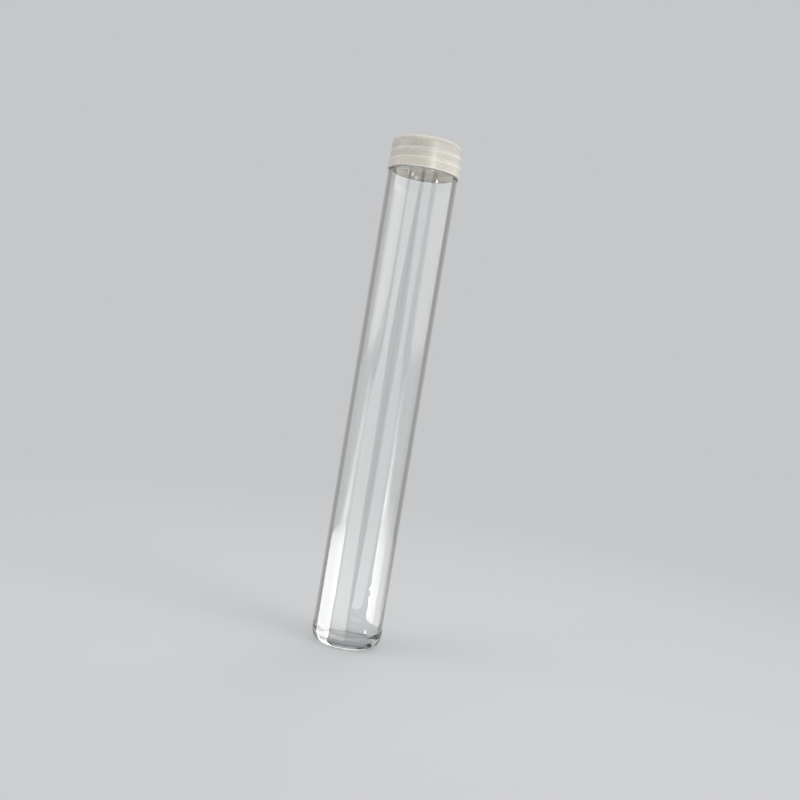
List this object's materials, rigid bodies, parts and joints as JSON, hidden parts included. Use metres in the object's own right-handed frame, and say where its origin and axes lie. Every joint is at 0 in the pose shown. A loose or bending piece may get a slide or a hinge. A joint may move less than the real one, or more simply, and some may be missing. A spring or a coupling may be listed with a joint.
{
  "type": "button storage tube",
  "caption": "Slim clear round tube with a closed base and a milky screw cap, for keeping sewing buttons in a stack.",
  "frame": {"origin": "middle of the closed base, on the surface that the tube stands on", "axes": "+Z along the tube from the base to the cap"},
  "size_m": [0.0244, 0.0244, 0.17],
  "materials": {
    "clear_plastic": "clear, polished, injection moulded",
    "milky_plastic": "translucent, satin, injection moulded"
  },
  "bodies": {
    "tube_body": {"tube": "clear_plastic"},
    "cap_body": {"screw_cap": "milky_plastic"}
  },
  "joints": [
    {"name": "cap_lift", "type": "slide", "parent": "tube_body", "child": "cap_body", "axis": [0, 0, 1], "range_m": [0, 0.04]}
  ]
}
